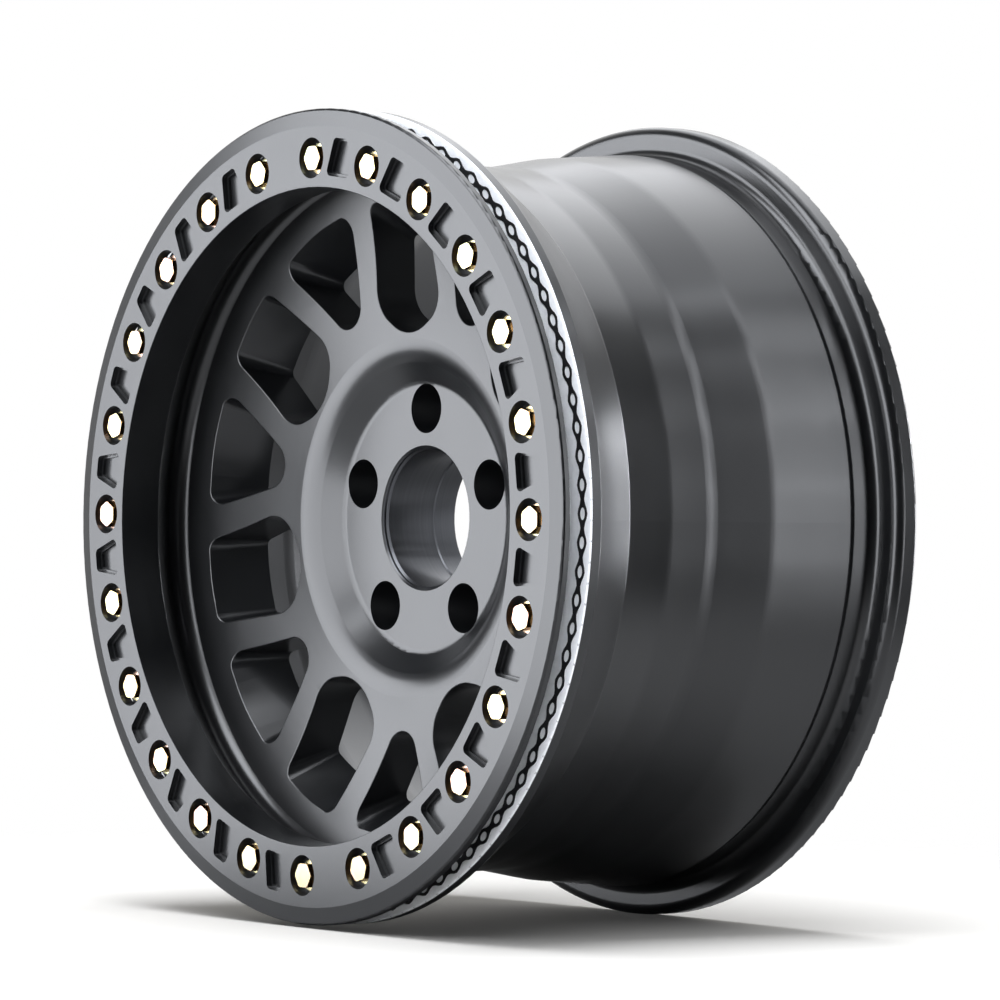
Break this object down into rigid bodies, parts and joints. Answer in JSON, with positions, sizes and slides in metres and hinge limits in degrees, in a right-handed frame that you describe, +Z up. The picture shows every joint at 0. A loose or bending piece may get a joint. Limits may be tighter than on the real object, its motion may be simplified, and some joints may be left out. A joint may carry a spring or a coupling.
{
  "type": "beadlock wheel",
  "caption": "Deep off-road wheel with windowed concave spokes, a lug-bolt hub and a bolted outer clamp ring that grips the tyre bead in an open gap.",
  "frame": {"origin": "on the axle line, in the plane of the hub pad that sits against the vehicle", "axes": "+Y along the axle towards the vehicle, so the clamp ring faces minus Y; +Z up, through a lug hole"},
  "size_m": [0.4687, 0.2559, 0.4688],
  "materials": {
    "satin_black_alloy": "satin black powder coat on cast aluminium",
    "satin_black_ring": "satin black powder coat on machined aluminium",
    "yellow_zinc_steel": "yellow zinc plated steel"
  },
  "bodies": {
    "root": {"wheel": "satin_black_alloy", "beadlock_ring": "satin_black_ring", "ring_bolts": "yellow_zinc_steel", "ring_washers": "yellow_zinc_steel"}
  },
  "joints": []
}
